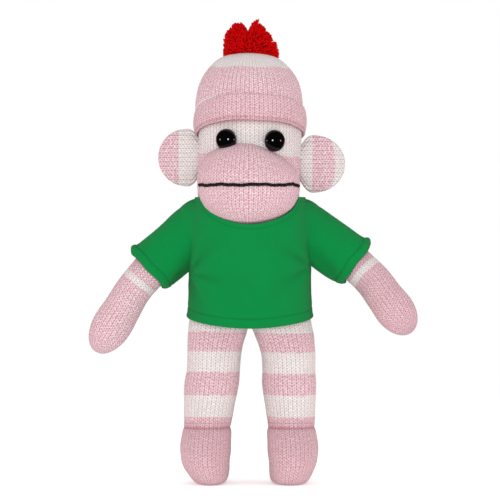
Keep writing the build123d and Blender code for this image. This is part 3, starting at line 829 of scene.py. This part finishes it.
def legs():
    for side, sign in SIDES.items():
        heights = np.linspace(119, ANKLE_LINE - 3.5, 130)
        xs = curve(LEG_MIDDLE[side], heights)
        half = curve(LEG_HALF, heights) - 0.7 * ankle_crease(heights, 1.4)
        turn = turns(LEG_WALES * STEPS)[None]
        white = stripes(side, heights[:, None] + 0.25 * np.sin(turn * 2 + sign) + 0.2 * np.sin(turn * 11))
        # painted shade in the crease at the ankle
        data = paint(white, tone=0.08, shade=0.7 * ankle_crease(heights, 1.0))
        piece = upright(f"leg_{side}", heights, xs, 0 * xs, half, np.minimum(half, LEG_DEPTH) * 0.97, LEG_WALES,
                        data=data, lump=0.4, seed=2.0 * sign)
        dress(piece, KNIT_CLOTH)
        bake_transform(piece)
        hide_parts(f"leg_{side}_skin", f"leg_{side}_filling")


FOOT_WIDE = [(0.0, 7.5), (0.6, 9.6), (2.5, 11.8), (6, 13.5), (11, 15.0), (17, 16.0), (23, 16.6), (30, 16.3),
             (36, 15.8), (39, 15.4), (43, 15.6)]
FOOT_TOE = [(0.0, -27), (0.6, -29), (2.5, -32.5), (6, -35.5), (11, -37.5), (17, -36.5), (23, -32.5), (29, -26.5),
            (34, -20.5), (38, -16.4), (43, -15.6)]
FOOT_HEEL = [(0.0, 13), (0.6, 14.5), (2.5, 16.4), (6, 18.0), (12, 18.8), (20, 18.4), (30, 16.8), (38, 15.6),
             (43, 15.4)]
FOOT_NARROW = {"left": -0.6, "right": 0.8}  # how much narrower a foot gets towards its sole
FOOT_LEAN = {"left": 2.2, "right": 3.0}  # how far the sole lies nearer the middle than the instep


def feet():
    for side, sign in SIDES.items():
        heights = np.concatenate([np.linspace(39.5, 3, 70), np.linspace(2.4, 0.0, 10)])
        wide = curve(FOOT_WIDE, heights) - FOOT_NARROW[side] * ramp(-heights, -12, 0)
        toe, heel = curve(FOOT_TOE, heights), curve(FOOT_HEEL, heights)
        xs = curve(LEG_MIDDLE[side], np.maximum(heights, 36)) + sign * 0.9 * ramp(-heights, -36, -24)
        xs = xs - sign * FOOT_LEAN[side] * ramp(-heights, -16, 0)
        pull = 0.6 * ankle_crease(heights, 1.4)
        # painted shade in the crease at the ankle
        shade = 0.7 * ankle_crease(heights, 1.0)
        rows = (xs, wide, toe, heel, pull, shade)
        xs, wide, toe, heel, pull, shade = (np.append(row, row[[-1, -1]]) for row in rows)
        sole = np.append(heights, [0.02, 0.02])
        shrink = np.append(np.ones(len(heights)), [0.6, 0.02])  # the last two rings close the sole
        piece = upright(f"foot_{side}", sole, xs, (toe + heel) / 2, (wide - pull) * shrink,
                        (heel - toe) / 2 * shrink - pull, LEG_WALES, data=paint(tone=0.3, shade=shade), lump=0.0,
                        seed=3.0 * sign, shape=2.15)
        dress(piece, KNIT_CLOTH)
        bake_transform(piece)
        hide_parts(f"foot_{side}_skin", f"foot_{side}_filling")


TORSO_WIDE = [(101.6, 0.3), (101.9, 14), (103, 24), (107, 33), (113, 36.5), (125, 37.5), (140, 34), (155, 27),
              (165, 25)]
TORSO_DEEP = [(101.6, 0.3), (101.9, 12), (103, 19), (107, 25), (113, 27.6), (125, 28.4), (150, 28.4), (165, 28)]
TORSO_WALES = 74


def torso():
    heights = np.linspace(165, 101.6, 70)
    piece = upright("torso_knit", heights, 0 * heights, 0 * heights, curve(TORSO_WIDE, heights),
                    curve(TORSO_DEEP, heights), TORSO_WALES, data=paint(1.0))
    dress(piece, KNIT_CLOTH)
    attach(piece, "torso")
    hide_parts("torso_skin", "torso_filling")


TAIL_R, TAIL_WALES = 6.6, 15
TAIL_SLANT = unit(np.array([0.25, 0.7, -0.7]))  # the way it leaves the torso
TAIL_BEND, TAIL_HANG = 18.0, 48.4  # from its root to its bend, and from there down to its tip


def tail():
    root = joints["tail_lift"]
    bend = root + TAIL_SLANT * TAIL_BEND
    stations = [root - TAIL_SLANT * 3, root + TAIL_SLANT * 6, bend - TAIL_SLANT * 4, bend - Z * 6, bend - Z * 24,
                bend - Z * TAIL_HANG]
    path, along = spline_path(stations, 110)
    tip = np.clip((along[-1] - along) / 7.0, 0, 1)
    radius = TAIL_R * np.maximum(np.sqrt(1 - (1 - tip) ** 2.2), 0.03)
    across, deep = limb_frames(path)
    white = band(along, 33.7, 38.7, 0.7)
    piece = knit_rings("tail", path, across, deep, radius, radius, TAIL_WALES, paint(white, tone=0.1), lump=0.2)
    dress(piece, KNIT_CLOTH)
    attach(piece, "tail")
    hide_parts("tail_skin", "tail_filling")


# T-shirt

JERSEY_WALE, JERSEY_COURSE = 0.8, 0.6
JERSEY_THICK = 1.0
HEM_STITCH = 6.0  # from a hem to its line of stitches
STITCH_LINE = 0.5  # how wide the painted shade along a line of stitches is
NECK_STITCH = 3.2  # from the neckline to its line of stitches
SHIRT_WIDE = [(98, 41.6), (104, 41.2), (112, 40.9), (125, 40.4), (137, 40.8), (148, 41.0), (158, 41.0), (168, 41.0),
              (176, 40.0), (182, 37.8), (188.5, 35.6)]
SHIRT_FRONT = [(98, 35.0), (112, 33.5), (125, 32.4), (140, 32.8), (155, 35.4), (163, 37.2), (168, 38.2), (171.2, 38.2),
               (176, 37.6), (182, 36.4), (188.5, 34.6)]
SHIRT_BACK = [(98, 33.5), (112, 32.5), (125, 31.8), (140, 31.8), (155, 33.6), (170, 35.8), (180, 36.0), (188.5, 34.3)]
SHOULDER_R = 17.7
SHIRT_GIRTH_R = 38.0  # the radius of a tube as far round as the shirt
SLEEVE_END = 45.2  # from the shoulder to the sleeve's hem
SLEEVE_SECTION = [(-3, 16.2), (0, 17.4), (5, 17.9), (20, 17.7), (34, 17.5), (42, 17.6), (46, 17.8)]
NECK_LEVEL, NECK_DROP, NECK_BACK = 197.6, 27.6, 188.3


def shirt_edge(turn):
    """The neckline's height at an angle from the front."""
    across = np.clip(np.abs(np.sin(turn)) * 38.2 / 34.6, 0, 1)
    arc = NECK_LEVEL - NECK_DROP * np.sqrt(np.maximum(1 - across**2, 0.12))
    return np.where(np.cos(turn) > 0, arc, NECK_BACK)


def hem_edge(x, y):
    """The hem's height, lowest in front."""
    return 109.0 + x**2 / 1500.0 + 0.2 * y


def thicken(piece):
    """Gives cloth its thickness, inwards."""
    thick = piece.modifiers.new("thickness", "SOLIDIFY")
    thick.thickness, thick.offset = JERSEY_THICK * MM, -1


def shirt():
    """The front and back in one, from the neckline to the hem, with a soft shoulder round each arm's root."""
    cols, rows = 360, 150
    turn = turns(cols)[None]
    sn, cs = np.sin(turn), np.cos(turn)
    top = shirt_edge(turn)
    bottom = hem_edge(40.5 * sn, -33.0 * cs)
    z = top + (bottom - top) * np.linspace(0, 1, rows)[:, None]
    wide = curve(SHIRT_WIDE, z)
    deep = np.where(cs > 0, curve(SHIRT_FRONT, z), curve(SHIRT_BACK, z))
    power = 2.3  # squarer than an ellipse
    radius = 1 / ((np.abs(sn) / wide) ** power + (np.abs(cs) / deep) ** power) ** (1 / power)
    for side in SIDES:
        shoulder = joints[f"arm_swing_{side}"] - MIDDLE
        across = shoulder[0] * sn
        rest = SHOULDER_R**2 - (z - shoulder[2]) ** 2 - (shoulder[0] * cs) ** 2
        reach = np.where(rest > 0, across + np.sqrt(np.maximum(rest, 0)), 0)
        blend = 3.0
        joined = np.exp(radius / blend) + np.exp(np.minimum(reach, 80) / blend) - 1
        radius = np.where(reach > 0, blend * np.log(joined), radius)
    points = MIDDLE + np.stack([radius * sn, -radius * cs, z], 2)
    lengths = np.concatenate([np.zeros((1, cols)), np.cumsum(np.linalg.norm(np.diff(points, axis=0), axis=2), axis=0)])
    u = np.broadcast_to(np.arange(cols + 1) / cols * 2 * pi * SHIRT_GIRTH_R / JERSEY_WALE, (rows, cols + 1))
    v = closed(lengths) / JERSEY_COURSE
    side_way = np.abs(points[..., 0] - MIDDLE[0]) - 41.0
    rise = z - np.where(sn > 0, 143.0, 138.0)
    away = np.hypot(side_way, rise)
    fan = np.sin(np.arctan2(rise, -side_way) * 6.0 + np.sign(cs) * 0.7 + np.sign(sn))  # folds from the armpit
    fan = fan * np.exp(-away / 15) * ramp(away, 2, 9)
    above_hem = z - bottom
    stand = lumps(points, 19.0, 0.6, 1.3) + 0.9 * fan + 0.45 * bell(above_hem, 1.6)
    stand = stand - 0.3 * bell(above_hem - HEM_STITCH, 0.6) + 0.35 * bell(top - z, 1.5)
    points = points + np.stack([sn + 0 * z, -cs + 0 * z, 0 * z], 2) * stand[..., None]
    # painted shade along the lines of stitches at the hem and the neckline, and in the troughs of the folds from the
    # armpit
    shade = 0.3 * bell(above_hem - HEM_STITCH, STITCH_LINE) + 0.25 * bell(top - z - NECK_STITCH, STITCH_LINE)
    piece = grid_mesh("shirt_cloth", points, np.stack([u, v], 2), {"shade": shade + 0.5 * np.clip(-fan, 0, 1)})
    thicken(piece)
    dress(piece, JERSEY_CLOTH)
    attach(piece, "torso")
    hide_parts("shirt_body", "shirt_neckband")


def sleeves():
    """Short sleeves with a turned hem, and folds that run out from the armpit."""
    rows, cols = 100, 216
    turn = turns(cols)[None]
    for side, sign in SIDES.items():
        shoulder = joints[f"arm_swing_{side}"]
        upper = arm_directions(side)[0]
        up = np.cross(upper, Y) * sign
        end = SLEEVE_END + 0.6 * np.cos(turn * 2 + sign) + 0.35 * np.sin(turn * 5)
        along = -3 + (end + 3) * np.linspace(0, 1, rows)[:, None]
        left = end - along
        radius = curve(SLEEVE_SECTION, along)
        top_side, armpit = np.clip(np.cos(turn), 0, 1), np.clip(-np.cos(turn), 0, 1)
        radius = radius + 1.9 * top_side**3 * bell(left - 3.4, 2.6) - 1.4 * armpit**3 * ramp(-left, -6, 0)
        radius = radius - 1.7 * np.clip(1 - left / 2.6, 0, 1) ** 2 - 0.35 * bell(left - HEM_STITCH, 0.7)
        folds = np.sin(turn * 5 + along * 0.10 * sign + 0.8) * ramp(along, 2, 14) * (0.25 + 0.75 * armpit)
        folds = folds * ramp(left, 3, 14)
        radius = radius + 0.7 * folds
        ring = up * np.cos(turn)[..., None] + Y * (sign * np.sin(turn))[..., None]
        points = shoulder + upper * along[..., None] + ring * radius[..., None]
        points = points + ring * (lumps(points, 11.0, 0.5, sign * 2.0) * ramp(along, 2, 12))[..., None]
        u = np.broadcast_to(np.arange(cols + 1) / cols * 2 * pi * 17.8 / JERSEY_WALE, (rows, cols + 1))
        v = closed(along) / JERSEY_COURSE
        # painted shade along the hem's line of stitches, and in the troughs of the folds under the arm
        shade = 0.35 * bell(left - HEM_STITCH, STITCH_LINE) + 0.35 * np.clip(-folds, 0, 1) * armpit
        piece = grid_mesh(f"sleeve_cloth_{side}", points, np.stack([u, v], 2), {"shade": shade})
        thicken(piece)
        dress(piece, JERSEY_CLOTH)
        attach(piece, f"arm_{side}")
        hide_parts(f"sleeve_{side}")


def hidden_cad():
    """The threads, washers and knot stay as they are, in their own materials."""
    for name, node in frame["nodes"].items():
        if "thread" in name:
            material = PINK_THREAD
        elif "washer" in name:
            material = CLEAR_PLASTIC
        elif name == "pompom_knot":
            material = RED_YARN
        else:
            continue
        node.data.materials.clear()
        node.data.materials.append(material)


FLOOR_R = 1.2  # metres
ROOM_LIGHT, ROOM_MIRRORED = 0.7, 0.03  # what the room gives as light, and what shows of it in the eyes
WHITE, ROSE = (1, 1, 1), (1, 0.45, 0.5)
# Name, place and size in metres, power in watts, colour, and whether it glints in the eyes
LAMPS = [("front", (0.0, -1.9, 0.34), 0.4, 16.0, WHITE, True), ("top", (0.0, 0.0, 2.2), 2.4, 12.0, WHITE, False),
         ("glint_left", (-1.9, -0.5, 0.27), 0.3, 6.0, ROSE, True),
         ("glint_right", (1.9, -0.5, 0.27), 0.3, 6.0, ROSE, True),
         ("left", (-1.5, -1.3, 0.7), 0.9, 1.0, WHITE, False), ("right", (1.5, -1.3, 0.6), 0.9, 0.6, WHITE, False)]


def studio():
    """A pale floor, soft lights and the camera."""
    floor_mesh = bpy.data.meshes.new("floor")
    corners = [(FLOOR_R * cos(angle), FLOOR_R * sin(angle), 0) for angle in turns(96)]
    floor_mesh.from_pydata(corners, [], [tuple(range(96))])
    floor = link("floor", floor_mesh)
    s = Shader("paper")
    place = s.node("ShaderNodeTexCoord").outputs["Object"]
    grain = s.noise(place, 40.0, 4.0)
    floor_mesh.materials.append(s.finish(s.mix(grain, srgb(250, 250, 250), srgb(254, 254, 254)), 0.9,
                                         s.bump(grain, 0.02, 0.0002), Specular_IOR_Level=0.1, Emission_Strength=0.3))
    floor.visible_glossy = False
    world = bpy.data.worlds.new("studio")
    bpy.context.scene.world = world
    world.use_nodes = True
    nodes, links = world.node_tree.nodes, world.node_tree.links
    seen, lit, mirrored = nodes["Background"], nodes.new("ShaderNodeBackground"), nodes.new("ShaderNodeBackground")
    for background, strength in ((seen, 1.0), (lit, ROOM_LIGHT), (mirrored, ROOM_MIRRORED)):
        background.inputs[0].default_value, background.inputs[1].default_value = (1, 1, 1, 1), strength
    path = nodes.new("ShaderNodeLightPath")
    last = lit
    for ray, other in (("Is Glossy Ray", mirrored), ("Is Camera Ray", seen)):
        mix = nodes.new("ShaderNodeMixShader")
        links.new(path.outputs[ray], mix.inputs[0])
        links.new(last.outputs[0], mix.inputs[1])
        links.new(other.outputs[0], mix.inputs[2])
        last = mix
    links.new(last.outputs[0], nodes["World Output"].inputs[0])
    target = Vector(tuple((MIDDLE + Z * VIEW_MIDDLE) * MM))
    for name, place, size, power, tint, glint in LAMPS:
        data = bpy.data.lights.new(name, "AREA")
        data.size, data.energy, data.color = size, power, tint
        lamp = bpy.data.objects.new(name, data)
        lamp.location = place
        lamp.rotation_euler = (target - Vector(place)).to_track_quat("-Z", "Y").to_euler()
        lamp.visible_glossy = glint
        bpy.context.scene.collection.objects.link(lamp)
    data = bpy.data.cameras.new("camera")
    data.sensor_width = SENSOR
    data.lens = SENSOR * CAMERA_DISTANCE / VIEW_WIDTH
    camera = bpy.data.objects.new("camera", data)
    camera.location = target - Vector((0, CAMERA_DISTANCE * MM, 0))
    camera.rotation_euler = (pi / 2, 0, 0)
    bpy.context.scene.collection.objects.link(camera)
    bpy.context.scene.camera = camera
    bpy.context.scene.view_settings.view_transform = "Standard"


studio()
head()
muzzle()
mouth()
eyes()
ears()
hat_crown()
hat_cuff()
pompom()
arms()
legs()
feet()
torso()
tail()
shirt()
sleeves()
hidden_cad()
